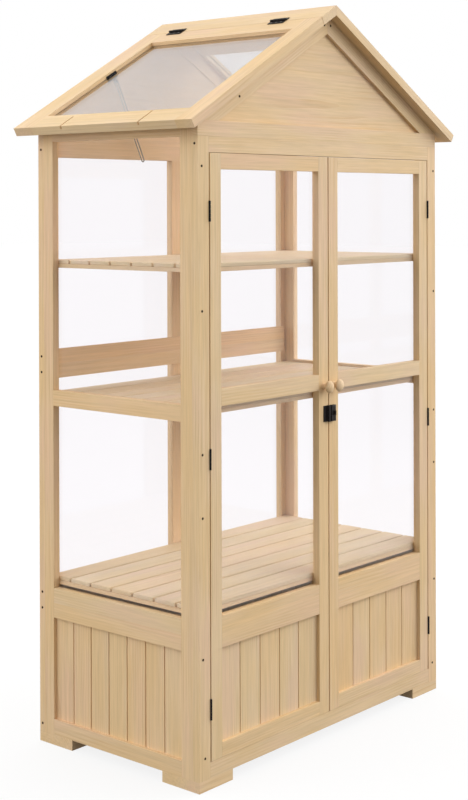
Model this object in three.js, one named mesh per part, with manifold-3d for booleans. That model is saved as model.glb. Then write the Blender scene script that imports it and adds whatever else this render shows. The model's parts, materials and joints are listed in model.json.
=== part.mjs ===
// A wooden mini greenhouse: a pine cabinet on four corner blocks, with two glazed
// doors, three slatted shelves and a gabled roof whose left slope opens as a lid.
// Millimetres. +X runs along the door front to the right, +Y goes from the doors to
// the back, +Z is up, and the origin is on the ground under the middle of the roof.
import * as THREE from "three";
import { mergeVertices } from "three/addons/utils/BufferGeometryUtils.js";
import Module from "manifold-3d";

const wasm = await Module();
wasm.setup();

// Clearances
const fitClearance = 0.3;
const paneFit = 0.3;
const cutOverrun = 2;
const mergeDistance = 1e-4;

// Body
const bodyWidth = 798;
const bodyDepth = 438;
const footSide = 95;
const footHeight = 21;
const frameHeight = 1200;
const timberThickness = 16;
const postWidth = 31;
const endRailWidth = 30;

// Side frames
const sideFrontStileWidth = 29;
const sideBackStileWidth = 26.5;
const sideTopRailWidth = 31;
const sideMiddleRailWidth = 31.5;
const sideMiddleRailHeight = 687;
const sideBoardCount = 7;

// Lower rails, which run round the whole body at one height
const lowerRailWidth = 60;
const lowerRailHeight = 258;

// Back
const backPostWidth = 34;
const braceBoardWidth = 30;
const braceBoardThickness = 6;
const braceEndGap = 11;
const braceHeight = 739;
const backBoardCount = 15;

// Panes and matchboard panels
const paneThickness = 3;
const paneRecess = 9.5;
const panelThickness = 6;
const panelRecess = 7.5;
const grooveDepth = 6;
const seamWidth = 3;
const seamDepth = 1.6;

// Doors
const doorGap = 3;
const doorTopGap = 1;
const doorBottomGap = 0.5;
const doorStileWidth = 31;
const doorTopRailWidth = 30;
const doorMiddleRailWidth = 32;
const doorMiddleRailHeight = 713.5;
const doorBottomRailWidth = 28;
const doorBoardCount = 5;

// Door hinges
const hingeHeight = 39.5;
const hingeLeafThickness = 0.8;
const hingeLeafWidth = 14;
const hingeBarrelDiameter = 3.4;
const hingeHeights = { top: 1081, middle: 617, bottom: 149.5 };

// Knobs, turned
const knobDiameter = 25;
const knobCapDepth = 13;
const knobNeckDiameter = 11;
const knobNeckLength = 9;
const knobHeight = 721;
const knobFaceCount = 24;
const knobStepCount = 10;

// Latch
const latchHeight = 648;
const latchTall = 33;
const housingWidth = 14;
const housingDepth = 7;
const housingWall = 1.2;
const latchEdgeInset = 0.5;
const keeperWidth = 16;
const keeperPlateThickness = 1.5;
const bridgeWidth = 6;
const bridgeWall = 1.8;
const boltTall = 10;
const boltThickness = 3;
const boltTravel = 8;
const boltRise = 11.5;
const boltClearance = 0.5;
const boltTabWidth = 3;
const boltTabReach = 2;

// Shelves
const slatCount = 7;
const slatGap = 5;
const slatThickness = 8;
const battenThickness = 8;
const battenWidth = 20;
const shelfEndClearance = 1;
const shelfFrontClearance = 3;
const shelfBackClearance = 1;
const ledgerWidth = 11;
const shelfHeights = { bottom: 339, middle: 713, upper: 982 };

// Gables
const gableRailWidth = 30;
const rakeWidth = 31;
const gableBoardHeight = 112;

// Roof
const roofPitchDegrees = 29.6;
const roofThickness = 18;
const eaveOverhang = 42;
const frontOverhang = 23;
const backOverhang = 28;
const ridgeBoardWidth = 57;
const lidGap = 1;
const lidTopRailWidth = 48;
const lidFrontRailWidth = 43;
const lidBackRailWidth = 54;
const lidBottomRailWidth = 50;
const roofPaneRecess = 8;
const kerfWidth = 4;
const kerfDepth = 7;
const kerfFrontInset = 137;
const kerfBackInset = 139;

// Lid hinges
const lidHingeLength = 41;
const lidHingeFrontInset = 112;
const lidHingeBackInset = 90;
const lidHingeLeafWidth = 13;
const lidHingeLeafThickness = 1.2;
const lidHingeBarrelDiameter = 5;
const knuckleCount = 5;
const knuckleGap = 0.5;

// Lid stay, a long loop of wire in a bracket
const stayDistance = 248;
const stayTurnDegrees = 3.8;
const stayLength = 193.5;
const stayWire = 2.6;
const stayWidth = 9.6;
const bracketDistance = 252;
const bracketLength = 32;
const bracketTopInset = 4.5;
const bracketThickness = 1.5;
const bracketDrop = 6.5;
const rivetHeadThickness = 1;
const roundFaceCount = 16;
const wireFaceCount = 10;
const bendStepCount = 10;

// Finishes
const pine = new THREE.MeshStandardMaterial({
  name: "pine",
  color: 0xdcbf94,
  roughness: 0.7,
  metalness: 0,
});
const clearSheet = new THREE.MeshStandardMaterial({
  name: "clear_sheet",
  color: 0xf1f3f7,
  roughness: 0.15,
  metalness: 0,
  transparent: true,
  opacity: 0.3,
});
const blackSteel = new THREE.MeshStandardMaterial({
  name: "black_steel",
  color: 0x17151a,
  roughness: 0.4,
  metalness: 0.8,
});
const zincWire = new THREE.MeshStandardMaterial({
  name: "zinc_wire",
  color: 0x8a8781,
  roughness: 0.35,
  metalness: 1,
});

// Sizes that follow from the driving dimensions
const roofLength = bodyDepth + frontOverhang + backOverhang;
const halfRoof = roofLength / 2;
const leftSide = -bodyWidth / 2;
const rightSide = bodyWidth / 2;
const frontFace = -halfRoof + frontOverhang;
const backFace = halfRoof - backOverhang;
const frameTop = footHeight + frameHeight;
const sideTop = frameTop + sideTopRailWidth;
const innerLeft = leftSide + timberThickness;
const innerRight = rightSide - timberThickness;
const innerFront = frontFace + timberThickness;
const innerBack = backFace - timberThickness;
const roofPitch = THREE.MathUtils.degToRad(roofPitchDegrees);
const roofDrop = Math.tan(roofPitch);
const slopeHeight = roofThickness / Math.cos(roofPitch);
const apexHeight = sideTop + fitClearance + (bodyWidth / 2) * roofDrop + slopeHeight;
const slopeLength = (bodyWidth / 2 + eaveOverhang) / Math.cos(roofPitch);

const greenhouse = new THREE.Group();
greenhouse.name = "mini_greenhouse";

// A closed geometry as a solid that can be cut and joined.
function solidOf(geometry) {
  const bare = new THREE.BufferGeometry();
  bare.setAttribute("position", geometry.getAttribute("position").clone());
  if (geometry.index) bare.setIndex(geometry.index.clone());
  const merged = mergeVertices(bare, mergeDistance);
  const corners = [];
  for (let i = 0; i < merged.index.count; i += 3) {
    const [a, b, c] = [0, 1, 2].map((k) => merged.index.getX(i + k));
    if (a !== b && b !== c && c !== a) corners.push(a, b, c);
  }
  const mesh = new wasm.Mesh({
    numProp: 3,
    vertProperties: new Float32Array(merged.attributes.position.array),
    triVerts: new Uint32Array(corners),
  });
  return new wasm.Manifold(mesh);
}

// A solid as a three.js geometry.
function geometryOf(solid) {
  const mesh = solid.getMesh();
  const geometry = new THREE.BufferGeometry();
  geometry.setAttribute("position", new THREE.BufferAttribute(new Float32Array(mesh.vertProperties), 3));
  geometry.setIndex(new THREE.BufferAttribute(new Uint32Array(mesh.triVerts), 1));
  const flat = geometry.toNonIndexed();
  flat.computeVertexNormals();
  return flat;
}

function addPiece(parent, name, solid, material) {
  const mesh = new THREE.Mesh(geometryOf(solid), material);
  mesh.name = name;
  parent.add(mesh);
  return mesh;
}

function join(solids) {
  return solids.slice(1).reduce((whole, next) => whole.add(next), solids[0]);
}

function cut(solid, cutters) {
  return cutters.reduce((left, cutter) => left.subtract(cutter), solid);
}

// A rectangular block between two corners, each a range along one axis.
function block([x0, x1], [y0, y1], [z0, z1]) {
  const geometry = new THREE.BoxGeometry(x1 - x0, y1 - y0, z1 - z0);
  geometry.translate((x0 + x1) / 2, (y0 + y1) / 2, (z0 + z1) / 2);
  return solidOf(geometry);
}

function shapeOf(points) {
  return new THREE.Shape(points.map(([a, b]) => new THREE.Vector2(a, b)));
}

// An outline in the XZ plane, carried from y0 to y1.
function prismAlongY(outline, [y0, y1]) {
  const geometry = new THREE.ExtrudeGeometry(outline, { depth: y1 - y0, bevelEnabled: false });
  geometry.rotateX(Math.PI / 2);
  geometry.translate(0, y1, 0);
  return solidOf(geometry);
}

function cylinderAlong(axis, diameter, length, faces) {
  const geometry = new THREE.CylinderGeometry(diameter / 2, diameter / 2, length, faces);
  if (axis === "x") geometry.rotateZ(Math.PI / 2);
  if (axis === "z") geometry.rotateX(Math.PI / 2);
  return geometry;
}

// A V-shaped groove, cut along an edge of a panel face. The face is square to
// faceAxis, the groove runs along runAxis, and outward says which way the face looks.
function seamCutter({ faceAxis, runAxis, face, outward, at, run }) {
  const [from, to] = run;
  const outline = shapeOf([
    [-seamWidth / 2, 0],
    [0, -seamDepth],
    [seamWidth / 2, 0],
    [seamWidth / 2, cutOverrun],
    [-seamWidth / 2, cutOverrun],
  ]);
  const geometry = new THREE.ExtrudeGeometry(outline, { depth: to - from, bevelEnabled: false });
  const axes = {
    x: new THREE.Vector3(1, 0, 0),
    y: new THREE.Vector3(0, 1, 0),
    z: new THREE.Vector3(0, 0, 1),
  };
  const up = axes[faceAxis].clone().multiplyScalar(outward);
  const along = axes[runAxis];
  const across = new THREE.Vector3().crossVectors(up, along);
  geometry.applyMatrix4(new THREE.Matrix4().makeBasis(across, up, along));
  const acrossAxis = ["x", "y", "z"].find((axis) => axis !== faceAxis && axis !== runAxis);
  const shift = { [faceAxis]: face, [runAxis]: from, [acrossAxis]: at };
  geometry.translate(shift.x, shift.y, shift.z);
  return solidOf(geometry);
}

function grown([from, to], by) {
  return [from - by, to + by];
}

// A range from two ends in either order.
function between(a, b) {
  return [Math.min(a, b), Math.max(a, b)];
}

// Feet: a square block under each corner, flush with the outer faces.
function addFeet() {
  const places = {
    foot_front_left: [leftSide, frontFace],
    foot_front_right: [rightSide - footSide, frontFace],
    foot_back_left: [leftSide, backFace - footSide],
    foot_back_right: [rightSide - footSide, backFace - footSide],
  };
  for (const [name, [x, y]] of Object.entries(places)) {
    addPiece(greenhouse, name, block([x, x + footSide], [y, y + footSide], [0, footHeight]), pine);
  }
}

// Front: two posts with a rail above and below the doors.
function addFront() {
  const depth = [frontFace, innerFront];
  const heights = [footHeight, frameTop];
  const opening = [leftSide + postWidth, rightSide - postWidth];
  const topRail = [frameTop - endRailWidth, frameTop];
  const bottomRail = [footHeight, footHeight + endRailWidth];
  addPiece(greenhouse, "front_post_left", block([leftSide, opening[0]], depth, heights), pine);
  addPiece(greenhouse, "front_post_right", block([opening[1], rightSide], depth, heights), pine);
  addPiece(greenhouse, "front_top_rail", block(opening, depth, topRail), pine);
  addPiece(greenhouse, "front_bottom_rail", block(opening, depth, bottomRail), pine);
}

// A glued frame with a pane or a panel held in a groove round each of its windows.
// members are ranges across and up, windows are the clear ranges between them.
function frameSolid(placed, members, sheets) {
  const wood = join(members.map(([across, up]) => placed(across, [0, timberThickness], up)));
  const grooves = sheets.map(({ across, up, depth }) =>
    placed(grown(across, grooveDepth), grown(depth, paneFit), grown(up, grooveDepth)),
  );
  return cut(wood, grooves);
}

function sheetRange(across, up, depth) {
  return { across, up, depth };
}

function sheetSolid(placed, { across, up, depth }) {
  const reach = grooveDepth - paneFit;
  return placed(grown(across, reach), depth, grown(up, reach));
}

const paneDepth = [paneRecess, paneRecess + paneThickness];
const panelDepth = [panelRecess, panelRecess + panelThickness];

// Even grooves down a panel between its boards.
function boardSeams(seamAt, [from, to], count, run) {
  const cutters = [];
  for (let i = 1; i < count; i += 1) {
    cutters.push(seamAt(from + ((to - from) * i) / count, run));
  }
  return cutters;
}

// Side frames. The left one stands at -X; the right one is its mirror image.
function addSide(name, outer, inward) {
  const stand = (acrossY, depthX, upZ) => {
    const [from, to] = depthX;
    return block(between(outer + inward * from, outer + inward * to), acrossY, upZ);
  };
  const span = [innerFront, innerBack];
  const clear = [innerFront + sideFrontStileWidth, innerBack - sideBackStileWidth];
  const bottomRailTop = footHeight + sideTopRailWidth;
  const lowerRail = [lowerRailHeight, lowerRailHeight + lowerRailWidth];
  const middleRail = [sideMiddleRailHeight, sideMiddleRailHeight + sideMiddleRailWidth];
  const members = [
    [[span[0], clear[0]], [footHeight, sideTop]],
    [[clear[1], span[1]], [footHeight, sideTop]],
    [clear, [footHeight, bottomRailTop]],
    [clear, lowerRail],
    [clear, middleRail],
    [clear, [frameTop, sideTop]],
  ];
  const panel = sheetRange(clear, [bottomRailTop, lowerRail[0]], panelDepth);
  const lowerPane = sheetRange(clear, [lowerRail[1], middleRail[0]], paneDepth);
  const upperPane = sheetRange(clear, [middleRail[1], frameTop], paneDepth);
  const frame = frameSolid(stand, members, [panel, lowerPane, upperPane]);
  const ledgers = Object.values(shelfHeights).map((top) => {
    const ledgerTop = top - slatThickness;
    const ledgerDepth = [timberThickness, timberThickness + ledgerWidth];
    return stand(span, ledgerDepth, [ledgerTop - battenThickness, ledgerTop]);
  });
  const seam = seamCutter({
    faceAxis: "x",
    runAxis: "y",
    face: outer,
    outward: -inward,
    at: lowerRailHeight + lowerRailWidth / 2,
    run: clear,
  });
  addPiece(greenhouse, name + "_side_frame", cut(join([frame, ...ledgers]), [seam]), pine);
  addPiece(greenhouse, name + "_pane_upper", sheetSolid(stand, upperPane), clearSheet);
  addPiece(greenhouse, name + "_pane_lower", sheetSolid(stand, lowerPane), clearSheet);
  const seams = boardSeams(
    (at, run) =>
      seamCutter({
        faceAxis: "x",
        runAxis: "z",
        face: outer + inward * panelRecess,
        outward: -inward,
        at,
        run,
      }),
    clear,
    sideBoardCount,
    grown(panel.up, grooveDepth + cutOverrun),
  );
  addPiece(greenhouse, name + "_side_panel", cut(sheetSolid(stand, panel), seams), pine);
}

// Back: a frame with a middle post, two panes, a matchboard panel and two brace
// boards that cross the post on the inside.
function addBack() {
  const stand = (acrossX, depthY, upZ) => {
    const [from, to] = depthY;
    return block(acrossX, [backFace - to, backFace - from], upZ);
  };
  const clear = [leftSide + postWidth, rightSide - postWidth];
  const post = [-backPostWidth / 2, backPostWidth / 2];
  const bottomRailTop = footHeight + endRailWidth;
  const topRailBottom = frameTop - endRailWidth;
  const lowerRail = [lowerRailHeight, lowerRailHeight + lowerRailWidth];
  const members = [
    [[leftSide, clear[0]], [footHeight, frameTop]],
    [[clear[1], rightSide], [footHeight, frameTop]],
    [clear, [footHeight, bottomRailTop]],
    [clear, lowerRail],
    [clear, [topRailBottom, frameTop]],
  ];
  const panel = sheetRange(clear, [bottomRailTop, lowerRail[0]], panelDepth);
  const windowUp = [lowerRail[1], topRailBottom];
  const leftPane = sheetRange([clear[0], post[0]], windowUp, paneDepth);
  const rightPane = sheetRange([post[1], clear[1]], windowUp, paneDepth);
  addPiece(greenhouse, "back_frame", frameSolid(stand, members, [panel, leftPane, rightPane]), pine);
  const postSolid = frameSolid(stand, [[post, windowUp]], [leftPane, rightPane]);
  addPiece(greenhouse, "back_centre_post", postSolid, pine);
  addPiece(greenhouse, "back_pane_left", sheetSolid(stand, leftPane), clearSheet);
  addPiece(greenhouse, "back_pane_right", sheetSolid(stand, rightPane), clearSheet);
  const panelFace = backFace - panelRecess;
  const seams = boardSeams(
    (at, run) => seamCutter({ faceAxis: "y", runAxis: "z", face: panelFace, outward: 1, at, run }),
    clear,
    backBoardCount,
    grown(panel.up, grooveDepth + cutOverrun),
  );
  addPiece(greenhouse, "back_panel", cut(sheetSolid(stand, panel), seams), pine);
  const braceAcross = [innerLeft + braceEndGap, innerRight - braceEndGap];
  const braceDepth = [innerBack - braceBoardThickness, innerBack];
  const boards = ["back_brace_lower", "back_brace_upper"];
  boards.forEach((name, i) => {
    const bottom = braceHeight + i * braceBoardWidth;
    addPiece(greenhouse, name, block(braceAcross, braceDepth, [bottom, bottom + braceBoardWidth]), pine);
  });
}

// Shelves: slats along X on two end battens, a middle batten and two long ones.
function addShelves() {
  const width = [innerLeft + shelfEndClearance, innerRight - shelfEndClearance];
  const depth = [innerFront + shelfFrontClearance, innerBack - shelfBackClearance];
  const slatPitch = (depth[1] - depth[0] + slatGap) / slatCount;
  const endInset = innerLeft + ledgerWidth + shelfEndClearance;
  for (const [level, top] of Object.entries(shelfHeights)) {
    const slatUp = [top - slatThickness, top];
    const battenUp = [slatUp[0] - battenThickness, slatUp[0]];
    const pieces = [];
    for (let i = 0; i < slatCount; i += 1) {
      const front = depth[0] + slatPitch * i;
      pieces.push(block(width, [front, front + slatPitch - slatGap], slatUp));
    }
    for (const x of [endInset, -battenWidth / 2, -endInset - battenWidth]) {
      pieces.push(block([x, x + battenWidth], depth, battenUp));
    }
    for (const y of [depth[0], depth[1] - battenWidth]) {
      pieces.push(block([endInset, -endInset], [y, y + battenWidth], battenUp));
    }
    addPiece(greenhouse, "shelf_" + level, join(pieces), pine);
  }
}

// Doors. The left one hangs on the left post; the right one is its mirror image.
function addDoor(name, hingeEdge, inward) {
  const stand = (acrossIn, depthY, upZ) => {
    const [near, far] = acrossIn;
    const [front, back] = depthY;
    const xs = between(hingeEdge + inward * near, hingeEdge + inward * far);
    return block(xs, [frontFace + front, frontFace + back], upZ);
  };
  const doorWidth = (bodyWidth - 2 * postWidth - 3 * doorGap) / 2;
  const bottom = footHeight + endRailWidth + doorBottomGap;
  const top = frameTop - endRailWidth - doorTopGap;
  const clear = [doorStileWidth, doorWidth - doorStileWidth];
  const bottomRailTop = bottom + doorBottomRailWidth;
  const lowerRail = [lowerRailHeight, lowerRailHeight + lowerRailWidth];
  const middleRail = [doorMiddleRailHeight, doorMiddleRailHeight + doorMiddleRailWidth];
  const topRailBottom = top - doorTopRailWidth;
  const members = [
    [[0, clear[0]], [bottom, top]],
    [[clear[1], doorWidth], [bottom, top]],
    [clear, [bottom, bottomRailTop]],
    [clear, lowerRail],
    [clear, middleRail],
    [clear, [topRailBottom, top]],
  ];
  const panel = sheetRange(clear, [bottomRailTop, lowerRail[0]], panelDepth);
  const lowerPane = sheetRange(clear, [lowerRail[1], middleRail[0]], paneDepth);
  const upperPane = sheetRange(clear, [middleRail[1], topRailBottom], paneDepth);
  addPiece(greenhouse, name + "_door_frame", frameSolid(stand, members, [panel, lowerPane, upperPane]), pine);
  addPiece(greenhouse, name + "_door_pane_upper", sheetSolid(stand, upperPane), clearSheet);
  addPiece(greenhouse, name + "_door_pane_lower", sheetSolid(stand, lowerPane), clearSheet);
  const seams = boardSeams(
    (at, run) =>
      seamCutter({
        faceAxis: "y",
        runAxis: "z",
        face: frontFace + panelRecess,
        outward: -1,
        at: hingeEdge + inward * at,
        run,
      }),
    clear,
    doorBoardCount,
    grown(panel.up, grooveDepth + cutOverrun),
  );
  addPiece(greenhouse, name + "_door_panel", cut(sheetSolid(stand, panel), seams), pine);
  const knob = addPiece(greenhouse, name + "_door_knob", solidOf(knobGeometry()), pine);
  knob.position.set(hingeEdge + inward * (doorWidth - doorStileWidth / 2), frontFace, knobHeight);
  knob.rotation.x = Math.PI;
}

// A turned knob: a neck from the door face and a rounded cap, seated on y = 0.
function knobGeometry() {
  const neckRadius = knobNeckDiameter / 2;
  const capRadius = knobDiameter / 2;
  const capMiddle = knobNeckLength + knobCapDepth / 2;
  const profile = [new THREE.Vector2(0, 0), new THREE.Vector2(neckRadius, 0)];
  const startAngle = Math.asin(neckRadius / capRadius);
  for (let i = 0; i <= knobStepCount; i += 1) {
    const angle = startAngle + ((Math.PI - startAngle) * i) / knobStepCount;
    const radius = i === knobStepCount ? 0 : capRadius * Math.sin(angle);
    profile.push(new THREE.Vector2(radius, capMiddle - (knobCapDepth / 2) * Math.cos(angle)));
  }
  return new THREE.LatheGeometry(profile, knobFaceCount);
}

// Door hinges: the leaf on the post with its barrel, one node for each hinge.
function addDoorHinges(name, postEdge, inward) {
  for (const [level, middle] of Object.entries(hingeHeights)) {
    const up = [middle - hingeHeight / 2, middle + hingeHeight / 2];
    const xs = between(postEdge, postEdge + inward * hingeLeafThickness);
    const barrelY = frontFace - hingeBarrelDiameter / 2;
    const leaf = block(xs, [barrelY, frontFace + hingeLeafWidth], up);
    const barrel = cylinderAlong("z", hingeBarrelDiameter, hingeHeight, roundFaceCount);
    barrel.translate(postEdge + (inward * doorGap) / 2, barrelY, middle);
    addPiece(greenhouse, name + "_door_hinge_" + level, leaf.add(solidOf(barrel)), blackSteel);
  }
}

// Latch: a slotted housing with a flat sliding bolt on the right door, and a keeper
// with a bridge on the left door. The bolt is drawn back, clear of the keeper.
function addLatch() {
  const inset = doorGap / 2 + latchEdgeInset;
  const up = [latchHeight, latchHeight + latchTall];
  const boltUp = [latchHeight + boltRise, latchHeight + boltRise + boltTall];
  const boltMiddle = frontFace - housingDepth / 2;
  const boltY = [boltMiddle - boltThickness / 2, boltMiddle + boltThickness / 2];
  const tunnelY = grown(boltY, boltClearance);
  const tunnelUp = grown(boltUp, boltClearance);

  const housingX = [inset, inset + housingWidth];
  const housing = block(housingX, [frontFace - housingDepth, frontFace], up);
  const tunnel = block(grown(housingX, cutOverrun), tunnelY, tunnelUp);
  const tabX = [housingX[1] - housingWall - boltTabWidth, housingX[1] - housingWall];
  const slotX = grown([tabX[0] - boltTravel, tabX[1]], boltClearance);
  const slotUp = grown([boltUp[0] + boltClearance, boltUp[1] - boltClearance], boltClearance);
  const slot = block(slotX, [frontFace - housingDepth - cutOverrun, boltMiddle], slotUp);
  addPiece(greenhouse, "latch_housing", cut(housing, [tunnel, slot]), blackSteel);

  const bolt = block(housingX, boltY, boltUp);
  const tabUp = [boltUp[0] + boltClearance, boltUp[1] - boltClearance];
  const tab = block(tabX, [frontFace - housingDepth - boltTabReach, boltMiddle], tabUp);
  addPiece(greenhouse, "latch_bolt", bolt.add(tab), blackSteel);

  const plateX = [-inset - keeperWidth, -inset];
  const plate = block(plateX, [frontFace - keeperPlateThickness, frontFace], up);
  const bridgeX = [-inset - bridgeWidth, -inset];
  const bridge = block(bridgeX, [tunnelY[0] - bridgeWall, frontFace], up);
  const mouthY = [tunnelY[0], frontFace - keeperPlateThickness];
  const mouth = block(grown(bridgeX, cutOverrun), mouthY, tunnelUp);
  addPiece(greenhouse, "latch_keeper", plate.add(bridge).subtract(mouth), blackSteel);
}

// Gables: a glued triangle of two rakes and a rail, with a board panel set in.
function gableOutline(lower, inset) {
  const peak = apexHeight - fitClearance - (roofThickness + inset) / Math.cos(roofPitch);
  const underside = (x) => peak - Math.abs(x) * roofDrop;
  const halfWidth = bodyWidth / 2;
  if (inset === 0) {
    return [
      [-halfWidth, lower],
      [halfWidth, lower],
      [halfWidth, underside(halfWidth)],
      [0, underside(0)],
      [-halfWidth, underside(halfWidth)],
    ];
  }
  const reach = (underside(0) - lower) / roofDrop;
  return [
    [-reach, lower],
    [reach, lower],
    [0, underside(0)],
  ];
}

function addGable(name, outer, inward) {
  const ys = (from, to) => between(outer + inward * from, outer + inward * to);
  const railTop = frameTop + gableRailWidth;
  const through = ys(0, timberThickness);
  const whole = prismAlongY(shapeOf(gableOutline(frameTop, 0)), through);
  const clear = shapeOf(gableOutline(railTop, rakeWidth));
  const windowCut = prismAlongY(clear, grown(through, cutOverrun));
  const grooveCut = prismAlongY(
    shapeOf(gableOutline(railTop - grooveDepth, rakeWidth - grooveDepth)),
    grown(ys(...panelDepth), paneFit),
  );
  addPiece(greenhouse, name + "_gable_frame", cut(whole, [windowCut, grooveCut]), pine);
  const reach = grooveDepth - paneFit;
  const held = shapeOf(gableOutline(railTop - reach, rakeWidth - reach));
  const panel = prismAlongY(held, ys(...panelDepth));
  const peak = apexHeight - (roofThickness + rakeWidth) / Math.cos(roofPitch);
  const face = outer + inward * panelRecess;
  const run = grown([leftSide, rightSide], cutOverrun);
  const seams = [];
  for (let z = railTop + gableBoardHeight; z < peak - seamWidth; z += gableBoardHeight) {
    seams.push(seamCutter({ faceAxis: "y", runAxis: "x", face, outward: -inward, at: z, run }));
  }
  addPiece(greenhouse, name + "_gable_panel", cut(panel, seams), pine);
}

// Roof slopes. In a slope's own frame X runs down the slope from the ridge, Y runs
// along the ridge and Z points out of the slope; the boards' top face is z = 0.
function slopeGroup(turn) {
  const slope = new THREE.Group();
  slope.position.set(0, 0, apexHeight);
  slope.rotation.set(0, roofPitch, turn, "ZYX");
  greenhouse.add(slope);
  return slope;
}

const roofAcross = [-halfRoof, halfRoof];
const roofDepth = [-roofThickness, 0];
const ridgeSet = fitClearance / 2;

// The ridge edge is cut plumb, so that two slopes meet on the upright middle plane.
function plumbTrim() {
  const outline = shapeOf([
    [-roofThickness, cutOverrun],
    [ridgeSet - cutOverrun * roofDrop, cutOverrun],
    [ridgeSet + (roofThickness + cutOverrun) * roofDrop, -roofThickness - cutOverrun],
    [-roofThickness, -roofThickness - cutOverrun],
  ]);
  return prismAlongY(outline, grown(roofAcross, cutOverrun));
}

function roofFrame(ridgeSide, topRail, frontward) {
  const placeAlong = (fromFront) => frontward * (halfRoof - fromFront);
  const along = (near, far) => between(placeAlong(near), placeAlong(far));
  const backRail = roofLength - lidBackRailWidth;
  const clearX = [ridgeSide + topRail, slopeLength - lidBottomRailWidth];
  const clearY = along(lidFrontRailWidth, backRail);
  const members = [
    block([ridgeSide, slopeLength], along(0, lidFrontRailWidth), roofDepth),
    block([ridgeSide, slopeLength], along(backRail, roofLength), roofDepth),
    block([ridgeSide, clearX[0]], clearY, roofDepth),
    block([clearX[1], slopeLength], clearY, roofDepth),
  ];
  const sheetZ = [-roofPaneRecess - paneThickness, -roofPaneRecess];
  const grooveZ = grown(sheetZ, paneFit);
  const groove = block(grown(clearX, grooveDepth), grown(clearY, grooveDepth), grooveZ);
  const reach = grooveDepth - paneFit;
  const pane = block(grown(clearX, reach), grown(clearY, reach), sheetZ);
  const kerfX = [clearX[1] - cutOverrun, slopeLength + cutOverrun];
  const kerfs = [kerfFrontInset, roofLength - kerfBackInset].map((middle) => {
    const kerfY = along(middle - kerfWidth / 2, middle + kerfWidth / 2);
    return block(kerfX, kerfY, [-kerfDepth, cutOverrun]);
  });
  return { wood: cut(join(members), [groove, ...kerfs]), pane, clearX, clearY };
}

// Lid hinges lie on the top face, with the pin over the joint.
function lidHingeLeaf(moving, middleY) {
  const radius = lidHingeBarrelDiameter / 2;
  const pinX = ridgeBoardWidth + lidGap / 2;
  const pinZ = radius + fitClearance;
  const direction = moving ? 1 : -1;
  const knuckle = lidHingeLength / knuckleCount;
  const start = middleY - lidHingeLength / 2;
  const leafEdge = pinX + direction * lidHingeLeafWidth;
  const leafX = between(pinX + direction * (radius + knuckleGap), leafEdge);
  const reachX = between(pinX, leafEdge);
  const leafZ = [fitClearance, fitClearance + lidHingeLeafThickness];
  const pieces = [block(leafX, [start, start + lidHingeLength], leafZ)];
  for (let i = 0; i < knuckleCount; i += 1) {
    const mine = moving ? i % 2 === 1 : i % 2 === 0;
    if (!mine) continue;
    const from = start + i * knuckle + knuckleGap / 2;
    const to = start + (i + 1) * knuckle - knuckleGap / 2;
    const barrel = cylinderAlong("y", lidHingeBarrelDiameter, to - from, roundFaceCount);
    barrel.translate(pinX, (from + to) / 2, pinZ);
    pieces.push(solidOf(barrel));
    pieces.push(block(reachX, [from, to], leafZ));
  }
  return join(pieces);
}

function addRoof() {
  const right = slopeGroup(0);
  const fixed = roofFrame(0, ridgeBoardWidth + lidGap + lidTopRailWidth, -1);
  addPiece(right, "right_roof_frame", cut(fixed.wood, [plumbTrim()]), pine);
  addPiece(right, "right_roof_pane", fixed.pane, clearSheet);

  const left = slopeGroup(Math.PI);
  const ridgeBoard = block([0, ridgeBoardWidth], roofAcross, roofDepth).subtract(plumbTrim());
  addPiece(left, "ridge_board", ridgeBoard, pine);
  const lid = roofFrame(ridgeBoardWidth + lidGap, lidTopRailWidth, 1);
  addPiece(left, "lid_frame", lid.wood, pine);
  const railEdge = lid.clearY[0];
  addPiece(left, "lid_pane", lid.pane.subtract(bracketNotch(railEdge)), clearSheet);
  const sides = { front: halfRoof - lidHingeFrontInset, back: lidHingeBackInset - halfRoof };
  for (const [side, y] of Object.entries(sides)) {
    addPiece(left, "lid_hinge_" + side + "_fixed_leaf", lidHingeLeaf(false, y), blackSteel);
    addPiece(left, "lid_hinge_" + side + "_moving_leaf", lidHingeLeaf(true, y), blackSteel);
  }
  addStay(left, railEdge);
}

// The lid's stay bracket is a plate on the back rail's inner edge, let through a
// notch in the pane, with a rivet below the rail for the stay to swing on.
const bracketSpan = grown([bracketDistance, bracketDistance], bracketLength / 2);

function bracketNotch(railEdge) {
  const reach = railEdge + bracketThickness + 2 * fitClearance;
  return block(
    grown(bracketSpan, fitClearance),
    [railEdge - 2 * grooveDepth, reach],
    grown([-roofPaneRecess - paneThickness, -roofPaneRecess], cutOverrun),
  );
}

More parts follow.
